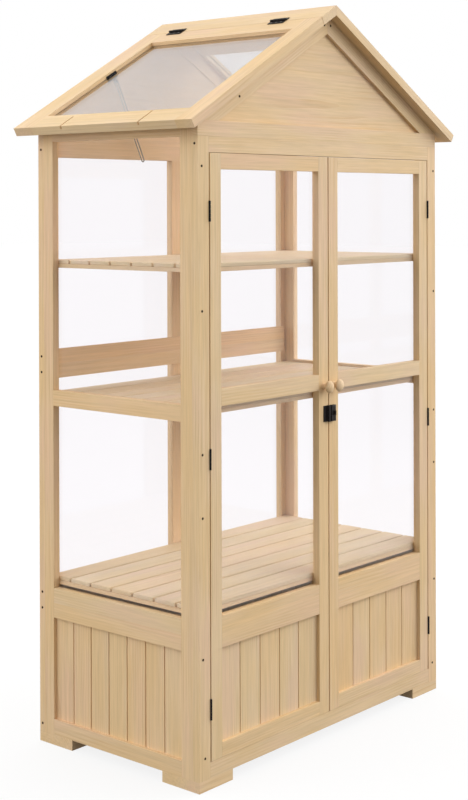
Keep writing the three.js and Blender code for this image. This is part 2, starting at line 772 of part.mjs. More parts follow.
// The stay is a closed loop of wire with its upper bend round the rivet. It hangs a
// little nearer to upright than square to the slope.
function addStay(left, railEdge) {
  const pivotZ = -roofThickness - bracketDrop;
  const plateY = [railEdge + fitClearance, railEdge + fitClearance + bracketThickness];
  const wireY = plateY[1] + fitClearance + stayWire / 2;
  const headY = wireY + stayWire / 2 + fitClearance;
  const legInset = (stayWidth - stayWire) / 2;
  const shankDiameter = stayWidth - 2 * stayWire - 2 * fitClearance;
  const tongue = grown([stayDistance, stayDistance], stayWidth / 2);
  const plate = block(bracketSpan, plateY, [-roofThickness, -bracketTopInset]);
  const tab = block(tongue, plateY, [pivotZ - shankDiameter / 2, -roofThickness]);
  const roundAlongY = (diameter, [from, to]) => {
    const geometry = cylinderAlong("y", diameter, to - from, roundFaceCount);
    geometry.translate(stayDistance, (from + to) / 2, pivotZ);
    return solidOf(geometry);
  };
  const shank = roundAlongY(shankDiameter, [plateY[0], headY]);
  const head = roundAlongY(stayWidth - stayWire, [headY, headY + rivetHeadThickness]);
  addPiece(left, "stay_bracket", join([plate, tab, shank, head]), blackSteel);

  const turn = THREE.MathUtils.degToRad(stayTurnDegrees);
  const path = [];
  const bends = [
    [0, 0],
    [stayWidth - stayLength, Math.PI],
  ];
  for (const [drop, start] of bends) {
    for (let i = 0; i <= bendStepCount; i += 1) {
      const angle = start + (Math.PI * i) / bendStepCount;
      const z = drop + legInset * Math.sin(angle);
      const point = new THREE.Vector3(legInset * Math.cos(angle), 0, z);
      point.applyAxisAngle(new THREE.Vector3(0, 1, 0), -turn);
      path.push(point.add(new THREE.Vector3(stayDistance, wireY, pivotZ)));
    }
  }
  addPiece(left, "lid_stay", wireLoop(path, stayWire), zincWire);
}

// A closed loop of round wire through points that share one y.
function wireLoop(path, diameter) {
  const corners = [];
  const faces = [];
  const total = path.length * wireFaceCount;
  path.forEach((point, i) => {
    const before = path[(i + path.length - 1) % path.length];
    const after = path[(i + 1) % path.length];
    const along = after.clone().sub(before).normalize();
    const sideways = new THREE.Vector3(-along.z, 0, along.x);
    const ring = i * wireFaceCount;
    const over = (ring + wireFaceCount) % total;
    for (let k = 0; k < wireFaceCount; k += 1) {
      const angle = (2 * Math.PI * k) / wireFaceCount;
      const corner = point.clone().addScaledVector(sideways, (diameter / 2) * Math.cos(angle));
      corner.y += (diameter / 2) * Math.sin(angle);
      corners.push(...corner);
      const next = (k + 1) % wireFaceCount;
      faces.push(ring + k, over + k, over + next, ring + k, over + next, ring + next);
    }
  });
  const geometry = new THREE.BufferGeometry();
  geometry.setAttribute("position", new THREE.Float32BufferAttribute(corners, 3));
  geometry.setIndex(faces);
  return solidOf(geometry);
}

addFeet();
addFront();
addBack();
addSide("left", leftSide, 1);
addSide("right", rightSide, -1);
addShelves();
addDoor("left", leftSide + postWidth + doorGap, 1);
addDoor("right", rightSide - postWidth - doorGap, -1);
addDoorHinges("left", leftSide + postWidth, 1);
addDoorHinges("right", rightSide - postWidth, -1);
addLatch();
addGable("front", frontFace, 1);
addGable("back", backFace, -1);
addRoof();

export default greenhouse;
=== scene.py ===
# %% [markdown]
# # A wooden mini greenhouse, board by board
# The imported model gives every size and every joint. This lesson dresses it: each frame
# of the CAD model becomes the separate boards that a joiner would cut, with eased edges
# and their own grain, and the panes, hinges, knobs and screws get their finish.
# Everything is in metres, in the frame's own coordinates: +X along the door front, +Y
# to the back and +Z up.

# %% Load the frame
import json
import math
import random

import bpy
import numpy as np
from mathutils import Euler, Matrix, Vector


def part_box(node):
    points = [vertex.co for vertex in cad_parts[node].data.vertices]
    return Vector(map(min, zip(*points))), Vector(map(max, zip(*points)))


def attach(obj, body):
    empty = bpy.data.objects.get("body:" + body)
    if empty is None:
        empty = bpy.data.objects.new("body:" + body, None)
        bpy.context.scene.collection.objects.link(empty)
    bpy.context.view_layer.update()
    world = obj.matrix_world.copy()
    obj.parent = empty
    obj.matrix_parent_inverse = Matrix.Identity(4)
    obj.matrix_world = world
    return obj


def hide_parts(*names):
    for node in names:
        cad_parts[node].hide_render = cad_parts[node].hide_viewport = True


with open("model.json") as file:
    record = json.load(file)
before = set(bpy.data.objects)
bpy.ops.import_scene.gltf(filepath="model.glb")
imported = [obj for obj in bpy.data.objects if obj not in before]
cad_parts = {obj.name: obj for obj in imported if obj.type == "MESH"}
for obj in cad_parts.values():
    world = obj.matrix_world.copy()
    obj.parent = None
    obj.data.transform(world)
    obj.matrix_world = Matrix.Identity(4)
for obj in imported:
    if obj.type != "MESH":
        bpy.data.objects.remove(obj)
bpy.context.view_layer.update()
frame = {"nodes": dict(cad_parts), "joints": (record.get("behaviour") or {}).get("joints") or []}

MM = 0.001
X, Y, Z = 0, 1, 2


def in_mm(length):
    return f"{length / MM:.1f} mm"


# %% [markdown]
# ## The view
# The photograph was taken level, from the left of the front, a little above the middle
# shelf. Its vertical edges stay all but parallel, so the camera is hardly tilted: the
# lens is shifted instead, as on a view camera. The camera could be set by eye, but a
# frame shows each error in it. So the straight edges of the doors, rails and roof were
# solved for the place, the turn and the focal length.

# %% Camera
IMAGE_HEIGHT = 800
FOCAL_PIXELS = 1492.6
CENTRE_PIXEL_Y = 211.27
CAMERA_PLACE = Vector((-2.4486, -2.0722, 1.0917))
CAMERA_TURN = math.radians(-49.309)
CAMERA_TILT = math.radians(-0.229)
CAMERA_ROLL = math.radians(-0.168)

bpy.ops.object.camera_add(location=CAMERA_PLACE)
camera = bpy.context.object
level = Euler((math.pi / 2 + CAMERA_TILT, 0, CAMERA_TURN)).to_matrix()
camera.rotation_euler = (level @ Euler((0, 0, CAMERA_ROLL)).to_matrix()).to_euler()
camera.data.lens = camera.data.sensor_width * FOCAL_PIXELS / IMAGE_HEIGHT
camera.data.shift_y = (CENTRE_PIXEL_Y - IMAGE_HEIGHT / 2) / IMAGE_HEIGHT
bpy.context.scene.camera = camera
bpy.context.scene.view_settings.view_transform = "Standard"
print("lens", round(camera.data.lens, 2), "shift", round(camera.data.shift_y, 4))

# %% [markdown]
# ## The studio
# Product light is soft. A few large lamps alone would each throw a shadow of their own.
# So a bright room does most of it. It glows in front and behind on the right, and behind
# on the left. The camera's own corner is darker, so that the joints that face the camera
# read as dark lines. Of the four wide lamps, one brightens the shelves through the far
# panes, one lifts the doors and two lift the left side. The floor is pale, and shows as
# white to the camera with a soft shadow.

# %% Small helpers for node trees
def srgb(red, green, blue):
    """A screen colour from 0 to 255 as the linear colour that a shader takes."""
    linear = []
    for value in (red / 255, green / 255, blue / 255):
        linear.append(value / 12.92 if value <= 0.04045 else ((value + 0.055) / 1.055) ** 2.4)
    return (*linear, 1.0)


def add_node(tree, kind, inputs=None, **settings):
    """A node with its settings made and its inputs set or linked."""
    made = tree.nodes.new(kind)
    for name, value in settings.items():
        setattr(made, name, value)
    for socket, value in (inputs or {}).items():
        if isinstance(value, bpy.types.NodeSocket):
            tree.links.new(value, made.inputs[socket])
        else:
            made.inputs[socket].default_value = value
    return made


def maths(tree, operation, *values):
    """One sum of two or three values or sockets."""
    inputs = dict(enumerate(values))
    return add_node(tree, "ShaderNodeMath", inputs, operation=operation).outputs[0]


def vector_maths(tree, operation, first, second, result="Vector"):
    inputs = {0: first, 1: second}
    return add_node(tree, "ShaderNodeVectorMath", inputs, operation=operation).outputs[result]


def new_material(name):
    """A material with an empty tree, and its output."""
    material = bpy.data.materials.new(name)
    material.use_nodes = True
    material.node_tree.nodes.clear()
    output = material.node_tree.nodes.new("ShaderNodeOutputMaterial")
    return material, material.node_tree, output


print("mid grey as linear light:", round(srgb(128, 128, 128)[0], 3))

# %% The room
ROOM_STRENGTH = 0.40
GLOW_HEIGHT = 0.4
GLOW_FOCUS = 4.0
# Each bright part's turn from the front, in degrees to the right, and its strength.
GLOWS = {"front_right": (45, 2.70), "back_right": (135, 2.2), "back_left": (225, 1.65)}


def seen_share(tree):
    """1 for rays from the camera and for what metal and panes show of the room."""
    path = add_node(tree, "ShaderNodeLightPath").outputs
    either = maths(tree, "MAXIMUM", path["Is Camera Ray"], path["Is Glossy Ray"])
    return maths(tree, "MAXIMUM", either, path["Is Transmission Ray"])


world = bpy.data.worlds.new("white_room")
bpy.context.scene.world = world
world.use_nodes = True
tree = world.node_tree
tree.nodes.clear()
direction = add_node(tree, "ShaderNodeTexCoord").outputs["Generated"]
light = ROOM_STRENGTH
for degrees, strength in GLOWS.values():
    turn = math.radians(degrees)
    toward = Vector((math.sin(turn), -math.cos(turn), GLOW_HEIGHT)).normalized()
    facing = vector_maths(tree, "DOT_PRODUCT", direction, toward, "Value")
    glow = maths(tree, "POWER", maths(tree, "MAXIMUM", facing, 0.0), GLOW_FOCUS)
    light = maths(tree, "MULTIPLY_ADD", glow, strength, light)
strength = add_node(
    tree, "ShaderNodeMix", {"Factor": seen_share(tree), "A": light, "B": 1.0}, data_type="FLOAT"
).outputs["Result"]
room = add_node(tree, "ShaderNodeBackground", {"Color": (1, 1, 1, 1), "Strength": strength})
add_node(tree, "ShaderNodeOutputWorld", {"Surface": room.outputs[0]})
print("bright parts of the room:", ", ".join(GLOWS))

# %% Lamps
LAMP_SIZE = 1.8
LAMP_AIM = Vector((0, 0, 0.8))
LAMPS = {
    "front_lamp": (11, (1.6, -2.6, 2.9)),
    "right_lamp": (43, (3.4, -0.8, 1.6)),
    "back_left_lamp": (13, (-2.6, 1.4, 2.4)),
    "side_lamp": (17, (-3.5, 0.3, 1.0)),
}

for name, (power, place) in LAMPS.items():
    bpy.ops.object.light_add(type="AREA", location=place)
    lamp = bpy.context.object
    lamp.name = name
    lamp.data.shape = "DISK"
    lamp.data.size = LAMP_SIZE
    lamp.data.energy = power
    lamp.rotation_euler = (Vector(place) - LAMP_AIM).to_track_quat("Z", "Y").to_euler()
    print(name, power, "W at", place)

# %% Floor
FLOOR_SIZE = 60
FLOOR_COLOUR = (0.12, 0.12, 0.12, 1)
FLOOR_GLOW = 0.85

bpy.ops.mesh.primitive_plane_add(size=FLOOR_SIZE)
floor = bpy.context.object
floor.name = "studio_floor"
material, tree, output = new_material("pale_floor")
glow = maths(tree, "MULTIPLY", seen_share(tree), FLOOR_GLOW)
shine = add_node(tree, "ShaderNodeEmission", {"Strength": glow})
paint = add_node(tree, "ShaderNodeBsdfDiffuse", {"Color": FLOOR_COLOUR})
both = add_node(tree, "ShaderNodeAddShader", {0: shine.outputs[0], 1: paint.outputs[0]})
tree.links.new(both.outputs[0], output.inputs["Surface"])
floor.data.materials.append(material)
print("floor", FLOOR_SIZE, "m across")

# %% [markdown]
# ## Planed pine
# Pine is a stack of cones: a pale band of spring growth and a thin darker band of
# summer growth each year, drawn out along the trunk. One material does all boards, if
# each board tells it where in the trunk it was cut. So each board stores that place in
# an attribute named grain, with the board's width, thickness and length as x, y and z.
# The rings are then true in three dimensions: lines on the faces, arcs on the ends. A
# flat pattern would need its own layout on each board, and couldn't do the ends.

# %% Patterns drawn out along a board
# For each, the share of the board's length that it reads, its scale and its detail.
PATTERNS = {
    "sway": (0.16, 11, 2.5),
    "ring_strength": (0.2, 26, 2.0),
    "blush": (0.25, 16, 2.0),
    "streaks": (0.03, 190, 3.0),
    "fibres": (0.025, 900, 3.0),
}


def noise(tree, vector, scale, detail):
    inputs = {"Vector": vector, "Scale": scale, "Detail": detail}
    return add_node(tree, "ShaderNodeTexNoise", inputs).outputs


def stretched(tree, place, share):
    """A place with a share of its length, which draws a pattern out along the board."""
    return vector_maths(tree, "MULTIPLY", place, (1, 1, share))


def pattern(tree, place, name):
    """The outputs of one of the patterns above."""
    share, scale, detail = PATTERNS[name]
    return noise(tree, stretched(tree, place, share), scale, detail)


print("patterns:", ", ".join(PATTERNS))


# %% Mixing and measuring patterns
def mix_colour(tree, factor, first, second, blend="MIX"):
    return add_node(
        tree,
        "ShaderNodeMix",
        {"Factor": factor, "A": first, "B": second},
        data_type="RGBA",
        blend_type=blend,
    ).outputs["Result"]


def ranged(tree, value, low, high, to_low, to_high):
    """A value moved from one range to another, and held inside it."""
    return add_node(
        tree,
        "ShaderNodeMapRange",
        {"Value": value, "From Min": low, "From Max": high, "To Min": to_low, "To Max": to_high},
    ).outputs["Result"]


def bumped(tree, height, strength, distance):
    """The normal of a surface that a pattern raises."""
    inputs = {"Strength": strength, "Distance": distance, "Height": height}
    return add_node(tree, "ShaderNodeBump", inputs).outputs["Normal"]


print("helpers for rings, patches and bumps are ready")

# %% Growth rings
SPRINGWOOD = srgb(228, 198, 156)
SUMMERWOOD = srgb(208, 169, 122)
RING_SPACING = 5.2 * MM
WAVE_RADIANS = 20  # the wave texture's own radians for each unit of scale and place
SWAY = 14 * MM
SUMMER_START = 0.45
RING_STRETCHES, RING_STRENGTHS = (0.4, 0.65), (0.05, 0.7)


def ringed_wood(tree, place):
    """Spring growth with summer rings, stronger in one stretch than in the next."""
    # The trunk isn't straight, so the rings sway slowly along the board.
    sway = pattern(tree, place, "sway")["Color"]
    centred = vector_maths(tree, "SUBTRACT", sway, (0.5, 0.5, 0.5))
    pushed = vector_maths(tree, "MULTIPLY", centred, (SWAY, SWAY, 0))
    swayed = vector_maths(tree, "ADD", place, pushed)
    rings = add_node(
        tree,
        "ShaderNodeTexWave",
        {"Vector": swayed, "Scale": 2 * math.pi / (WAVE_RADIANS * RING_SPACING)},
        wave_type="RINGS",
        rings_direction="Z",
        wave_profile="SAW",
    ).outputs["Fac"]
    summer = ranged(tree, rings, SUMMER_START, 1.0, 0.0, 1.0)
    stretches = pattern(tree, place, "ring_strength")["Fac"]
    strength = ranged(tree, stretches, *RING_STRETCHES, *RING_STRENGTHS)
    share = maths(tree, "MULTIPLY", summer, strength)
    return mix_colour(tree, share, SPRINGWOOD, SUMMERWOOD)


print("rings every", in_mm(RING_SPACING))

# %% Patches, knots and each board's own tone
ROSY_WOOD = srgb(227, 193, 159)
GOLDEN_WOOD = srgb(225, 192, 142)
KNOT_WOOD = srgb(150, 104, 64)
PATCH_DEPTH = 0.7
ROSY_AT, GOLDEN_AT = 0.64, 0.36
KNOT_STRETCH, KNOT_SCALE = 0.4, 9
KNOT_HEART, KNOT_RIM = 0.035, 0.075
KNOT_FREE = 0.8  # the share of cells without a knot
TONE_LIMIT = 3
TONE_SPREAD = {"Red": -0.04, "Green": 0.06, "Blue": 0.17}


def with_patches(tree, place, colour):
    """Rosy and golden patches that lie along the board."""
    blush = pattern(tree, place, "blush")["Fac"]
    for full, patch in ((ROSY_AT, ROSY_WOOD), (GOLDEN_AT, GOLDEN_WOOD)):
        colour = mix_colour(tree, ranged(tree, blush, 0.5, full, 0.0, PATCH_DEPTH), colour, patch)
    return colour


def with_knots(tree, place, colour):
    """A few small knots: dark hearts in one cell of every five."""
    where = stretched(tree, place, KNOT_STRETCH)
    cells = add_node(tree, "ShaderNodeTexVoronoi", {"Vector": where, "Scale": KNOT_SCALE})
    near = ranged(tree, cells.outputs["Distance"], KNOT_HEART, KNOT_RIM, 1.0, 0.0)
    cell = add_node(tree, "ShaderNodeSeparateColor", {"Color": cells.outputs["Color"]})
    chosen = ranged(tree, cell.outputs["Red"], KNOT_FREE, KNOT_FREE + 0.01, 0.0, PATCH_DEPTH)
    return mix_colour(tree, maths(tree, "MULTIPLY", near, chosen), colour, KNOT_WOOD)


def with_tone(tree, tone, colour):
    """Each board's own depth of colour. A high tone is paler and less golden."""
    tint = add_node(tree, "ShaderNodeCombineColor")
    for channel, spread in TONE_SPREAD.items():
        share = ranged(tree, tone, -TONE_LIMIT, TONE_LIMIT, 1 - spread, 1 + spread)
        tree.links.new(share, tint.inputs[channel])
    return mix_colour(tree, 1.0, colour, tint.outputs["Color"], "MULTIPLY")


print("tone moves the channels by", TONE_SPREAD)

# %% Pine
NOISE_SPAN = (0.3, 0.7)
FIBRE_SHADES = (0.95, 1.04)
STREAK_SHADES = (0.93, 1.05)
PINE_ROUGHNESS = (0.68, 0.5)
PINE_SPECULAR = 0.3
PINE_BUMP, PINE_RELIEF = 0.12, 0.3 * MM


def pine_material():
    """Planed pine: rings, patches, fine streaks, knots and the board's tone."""
    material, tree, output = new_material("planed_pine")
    place = add_node(tree, "ShaderNodeAttribute", attribute_name="grain").outputs["Vector"]
    tone = add_node(tree, "ShaderNodeAttribute", attribute_name="tone").outputs["Fac"]
    colour = with_patches(tree, place, ringed_wood(tree, place))

    fibres = pattern(tree, place, "fibres")["Fac"]
    streaks = pattern(tree, place, "streaks")["Fac"]
    fibre_shade = ranged(tree, fibres, *NOISE_SPAN, *FIBRE_SHADES)
    streak_shade = ranged(tree, streaks, *NOISE_SPAN, *STREAK_SHADES)
    shade = maths(tree, "MULTIPLY", fibre_shade, streak_shade)
    colour = mix_colour(tree, 1.0, colour, shade, "MULTIPLY")
    colour = with_tone(tree, tone, with_knots(tree, place, colour))

    height = maths(tree, "ADD", fibres, streaks)
    surface = add_node(
        tree,
        "ShaderNodeBsdfPrincipled",
        {
            "Base Color": colour,
            "Roughness": ranged(tree, fibres, *NOISE_SPAN, *PINE_ROUGHNESS),
            "Specular IOR Level": PINE_SPECULAR,
            "Normal": bumped(tree, height, PINE_BUMP, PINE_RELIEF),
        },
    )
    tree.links.new(surface.outputs[0], output.inputs["Surface"])
    return material


PINE = pine_material()
print("pine tree of", len(PINE.node_tree.nodes), "nodes")

# %% [markdown]
# ## Clear sheets
# The panes are thin acrylic. A clear sheet lets nearly all light through when it is seen
# square on, and mirrors more the flatter the view, which is why only the lid looks milky
# in the photograph. A glass shader would bend the view and darken the inside, as it
# takes each thin pane for a lens. So each face is a mix of a clear and a mirror shader,
# and a power of Layer Weight's Facing gives the mirror's share on both faces alike.

# %% Clear sheet
MIRROR_SQUARE_ON = 0.026
MIRROR_RISE = 4.5
ALL_MIRROR = 0.535
MIRROR_ROUGHNESS = 0.04
CLEAR_TINT = (0.995, 0.989, 0.995, 1)
RIPPLE_SCALE, RIPPLE_DETAIL = 7, 1.0
RIPPLE_BUMP, RIPPLE_RELIEF = 0.05, 1 * MM


def sheet_material():
    """Thin clear sheet, more of a mirror the flatter it is seen."""
    material, tree, output = new_material("clear_acrylic")
    place = add_node(tree, "ShaderNodeTexCoord").outputs["Object"]
    ripple = noise(tree, place, RIPPLE_SCALE, RIPPLE_DETAIL)["Fac"]
    normal = bumped(tree, ripple, RIPPLE_BUMP, RIPPLE_RELIEF)
    facing = add_node(tree, "ShaderNodeLayerWeight", {"Blend": 0.5}).outputs["Facing"]
    steep = maths(tree, "POWER", facing, MIRROR_RISE)
    share = ranged(tree, steep, 0.0, ALL_MIRROR, MIRROR_SQUARE_ON, 1.0)
    clear = add_node(tree, "ShaderNodeBsdfTransparent", {"Color": CLEAR_TINT})
    gloss = {"Roughness": MIRROR_ROUGHNESS, "Normal": normal}
    mirror = add_node(tree, "ShaderNodeBsdfAnisotropic", gloss)
    shaders = {0: share, 1: clear.outputs[0], 2: mirror.outputs[0]}
    both = add_node(tree, "ShaderNodeMixShader", shaders)
    tree.links.new(both.outputs[0], output.inputs["Surface"])
    return material


CLEAR_SHEET = sheet_material()
panes = [n for n in frame["nodes"].values() if "pane_" in n.name or n.name.endswith("_pane")]
for pane in panes:
    pane.data.materials.clear()
    pane.data.materials.append(CLEAR_SHEET)
print("panes:", len(panes))

# %% [markdown]
# ## Metals
# The hinges and the latch are steel with a black coat, the stay is plated wire and the
# screws are dark brown, a colour that also paints the shade of the holes they sit sunk
# in. Each could have a plain shader of its own, but all of them wear in fine specks. So
# one recipe does all: the specks change the colour, the gloss and the height together.

# %% Metals
SPECK_SCALE, SPECK_DETAIL = 900, 3.0
WORN_SPAN = (0.45, 0.75)
WORN_ROUGHER = 0.15
SPECK_BUMP, SPECK_RELIEF = 0.2, 0.1 * MM


def metal_material(name, colour, worn, metallic, roughness, specular=0.5):
    """Coated or plated metal, with fine specks where its finish has worn."""
    material, tree, output = new_material(name)
    place = add_node(tree, "ShaderNodeTexCoord").outputs["Object"]
    specks = noise(tree, place, SPECK_SCALE, SPECK_DETAIL)["Fac"]
    colour = mix_colour(tree, ranged(tree, specks, *WORN_SPAN, 0.0, 1.0), colour, worn)
    gloss = ranged(tree, specks, *NOISE_SPAN, roughness, roughness + WORN_ROUGHER)
    surface = add_node(
        tree,
        "ShaderNodeBsdfPrincipled",
        {
            "Base Color": colour,
            "Metallic": metallic,
            "Roughness": gloss,
            "Specular IOR Level": specular,
            "Normal": bumped(tree, specks, SPECK_BUMP, SPECK_RELIEF),
        },
    )
    tree.links.new(surface.outputs[0], output.inputs["Surface"])
    return material


BLACK_STEEL = metal_material(
    "black_steel", srgb(18, 14, 14), srgb(48, 42, 40), metallic=0.0, roughness=0.4, specular=0.15
)
ZINC_WIRE = metal_material(
    "zinc_wire", srgb(128, 122, 112), srgb(160, 154, 144), metallic=0.9, roughness=0.3
)
# The screws' dark brown is partly their own finish and partly painted shade of the sunken holes
# they sit in.
SCREW_AND_HOLE_SHADE = metal_material(
    "dark_screws_and_hole_shade", srgb(52, 36, 24), srgb(84, 64, 48), metallic=0.0, roughness=0.7, specular=0.1
)
print("metals:", BLACK_STEEL.name, ZINC_WIRE.name, SCREW_AND_HOLE_SHADE.name)

# %% [markdown]
# ## Sawing a board
# A board starts as a cube at its size and place. Bisect cuts its ends to an angle
# where it needs one, and a small bevel takes the sharp edges off, as sandpaper does. It
# could be extruded from a drawn outline instead, but nearly all boards here are square.
# Then it gets its place in the trunk. The dice are seeded, so every run saws the same
# boards.

# %% A place in the trunk
# The pith lies beside, behind and somewhere along a board, within these distances.
PITH_BESIDE, PITH_BEHIND, PITH_ALONG = (-0.14, -0.04), (0.01, 0.06), (0, 4)
dice = random.Random(11)


def mark_grain(piece, low, high, along, paler=0):
    """Stores where each corner of the board lay in the trunk, and the board's tone."""
    mesh = piece.data
    corners = len(mesh.loops)
    points = np.empty(len(mesh.vertices) * 3, np.float32)
    mesh.vertices.foreach_get("co", points)
    which = np.empty(corners, np.int32)
    mesh.loops.foreach_get("vertex_index", which)
    places = points.reshape(-1, 3)[which] - np.array(low, np.float32)
    size = high - low
    wide, thin = sorted((axis for axis in (X, Y, Z) if axis != along), key=lambda a: -size[a])
    places = places[:, [wide, thin, along]]
    pith = [dice.uniform(*reach) for reach in (PITH_BESIDE, PITH_BEHIND, PITH_ALONG)]
    grain = mesh.attributes.new("grain", "FLOAT_VECTOR", "CORNER")
    grain.data.foreach_set("vector", (places + np.array(pith, np.float32)).ravel())
    tone = mesh.attributes.new("tone", "FLOAT", "CORNER")
    tone.data.foreach_set("value", np.full(corners, paler + dice.uniform(-1, 1), np.float32))


print("the pith lies up to", in_mm(-PITH_BESIDE[0]), "beside a board")

# %% One board
EDGE = 0.3 * MM
SEAM = 0.02 * MM


def deselect():
    if bpy.context.mode != "OBJECT":
        bpy.ops.object.mode_set(mode="OBJECT")
    bpy.ops.object.select_all(action="DESELECT")


def edit_all():
    """Opens the active piece for editing, with all of it selected."""
    bpy.ops.object.mode_set(mode="EDIT")
    bpy.ops.mesh.select_all(action="SELECT")


def block(low, high):
    """A cube between two corners, with its size applied."""
    low, high = Vector(low), Vector(high)
    deselect()
    bpy.ops.mesh.primitive_cube_add(size=1, location=(low + high) / 2)
    piece = bpy.context.object
    piece.scale = high - low
    bpy.ops.object.transform_apply(location=True, rotation=True, scale=True)
    return piece


def board(low, high, along, cuts=(), edge=EDGE, seam=SEAM, paler=0):
    """One planed board between two corners. Each cut is a point and the side to lose."""
    low, high = Vector(low) + Vector((seam,) * 3), Vector(high) - Vector((seam,) * 3)
    piece = block(low, high)
    edit_all()
    for point, lost_side in cuts:
        plane = point - lost_side * seam
        bpy.ops.mesh.bisect(plane_co=plane, plane_no=lost_side, use_fill=True, clear_outer=True)
        bpy.ops.mesh.select_all(action="SELECT")
    bpy.ops.mesh.bevel(offset=edge, segments=2, affect="EDGES")
    bpy.ops.object.mode_set(mode="OBJECT")
    mark_grain(piece, low, high, along, paler)
    return piece


print("edges eased by", in_mm(EDGE))


# %% Joining and finishing
def select_only(piece):
    deselect()
    piece.select_set(True)
    bpy.context.view_layer.objects.active = piece


def join(pieces):
    select_only(pieces[0])
    for piece in pieces:
        piece.select_set(True)
    bpy.ops.object.join()
    return pieces[0]


def finish(piece, name, body, material, slot, *nodes):
    """Names a piece, gives it its material, puts it on the body it rides on and hides the CAD
    nodes it takes the place of.
    """
    piece.name = name
    piece.data.name = name
    piece.data.materials.clear()
    piece.data.materials.append(material)
    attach(piece, body)
    if nodes:
        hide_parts(*nodes)
    return piece


# %% [markdown]
# ## Feet, posts and single boards
# These are one board each, so their CAD boxes say all: only the grain's direction is
# added. The CAD boards could stay with a wood finish, but their edges are sharp and
# their ends would show no rings.

# %% Single boards
single_boards = {
    "foot_front_left": X,
    "foot_front_right": X,
    "foot_back_left": X,
    "foot_back_right": X,
    "front_post_left": Z,
    "front_post_right": Z,
    "front_top_rail": X,
    "front_bottom_rail": X,
    "back_centre_post": Z,
    "back_brace_lower": X,
    "back_brace_upper": X,
}
for node, along in single_boards.items():
    low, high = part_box(node)
    finish(board(low, high, along), node + "_board", "cabinet", PINE, "pine", node)
print("single boards:", len(single_boards))

# %% [markdown]
# ## Glued frames
# The sides, the back and the doors are all made one way: two stiles run the full
# height and the rails fit between them. The panes' boxes tell where the openings are,
# because each pane is let into the wood by the same depth. One board with holes would be
# less work, but the grain has to turn at each joint.

# %% Glued frames
PANE_REACH = 5.7 * MM
TIMBER = 16 * MM
WIDE_RAIL = 45 * MM


def opening(*nodes):
    """The clear opening round one or more panes or panels that stand side by side."""
    boxes = [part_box(node) for node in nodes]
    low = Vector([min(b[0][i] for b in boxes) for i in range(3)])
    high = Vector([max(b[1][i] for b in boxes) for i in range(3)])
    reach = Vector((PANE_REACH,) * 3)
    return low + reach, high - reach


def glued_frame(low, high, across, openings, split=False):
    """Boards of an upright frame. across is its level axis, and split saws wide rails."""
    clear = openings[0][0][across], openings[0][1][across]

    def span(start, end, bottom, top, along):
        first, last = low.copy(), high.copy()
        first[across], last[across] = start, end
        first[Z], last[Z] = bottom, top
        return board(first, last, along)

    boards = [
        span(low[across], clear[0], low[Z], high[Z], Z),
        span(clear[1], high[across], low[Z], high[Z], Z),
    ]
    bottoms = [low[Z]] + [window[1][Z] for window in openings]
    tops = [window[0][Z] for window in openings] + [high[Z]]
    for bottom, top in zip(bottoms, tops):
        if split and top - bottom > WIDE_RAIL:
            middle = (bottom + top) / 2
            boards.append(span(*clear, bottom, middle, across))
            boards.append(span(*clear, middle, top, across))
        else:
            boards.append(span(*clear, bottom, top, across))
    return boards


print("panes reach", in_mm(PANE_REACH), "into the wood")

# %% [markdown]
# ## Matchboard
# Below the panes the walls are boarded with narrow upright boards, tongued into each
# other so that they can swell and shrink. What shows is a dark open line between two
# boards. Grooves cut into one panel would look alike, but real boards differ in tone.

# %% Matchboard panels
BOARD_GAP = 2.2 * MM
TONGUE = 1.6 * MM
TONGUE_BACK = 1.2 * MM
PANEL_LIP = 2.5 * MM
PANEL_EDGE = 0.4 * MM
TONGUE_EDGE = 0.1 * MM
TONGUE_SEAM = 0.01 * MM


def matchboards(node, across, count):
    """A panel of upright boards, with a tongue behind the open joint of each pair."""
    low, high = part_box(node)
    thin = X if across == Y else Y
    inward = -1 if low[thin] + high[thin] > 0 else 1
    inner = high[thin] if inward > 0 else low[thin]
    tongue = sorted((inner - inward * TONGUE_BACK, inner - inward * (TONGUE_BACK + TONGUE)))
    low[Z] += PANE_REACH - PANEL_LIP
    high[Z] -= PANE_REACH - PANEL_LIP
    start, end = low[across] + PANE_REACH, high[across] - PANE_REACH
    joints = [start + (end - start) * index / count for index in range(1, count)]
    starts = [start - PANEL_LIP] + [joint + BOARD_GAP / 2 for joint in joints]
    ends = [joint - BOARD_GAP / 2 for joint in joints] + [end + PANEL_LIP]
    boards = []
    for first_edge, last_edge in zip(starts, ends):
        first, last = low.copy(), high.copy()
        first[across], last[across] = first_edge, last_edge
        boards.append(board(first, last, Z, edge=PANEL_EDGE, seam=0))
    for joint in joints:
        first, last = low.copy(), high.copy()
        first[across], last[across] = joint - BOARD_GAP / 2, joint + BOARD_GAP / 2
        first[thin], last[thin] = tongue
        boards.append(board(first, last, Z, edge=TONGUE_EDGE, seam=TONGUE_SEAM))
    return join(boards)


print("open joints of", in_mm(BOARD_GAP))

# %% [markdown]
# ## Sides
# Each side is a frame with two panes over a boarded panel. Three ledgers are screwed
# inside it for the shelves. They could be pieces of their own, but they never part from
# the side, so they join its piece.

# %% Side frames and panels
SIDE_BOARDS = 7
LEDGER_WIDTH = 11 * MM
LEDGER_TALL = 8 * MM
SLAT_THICKNESS = 8 * MM

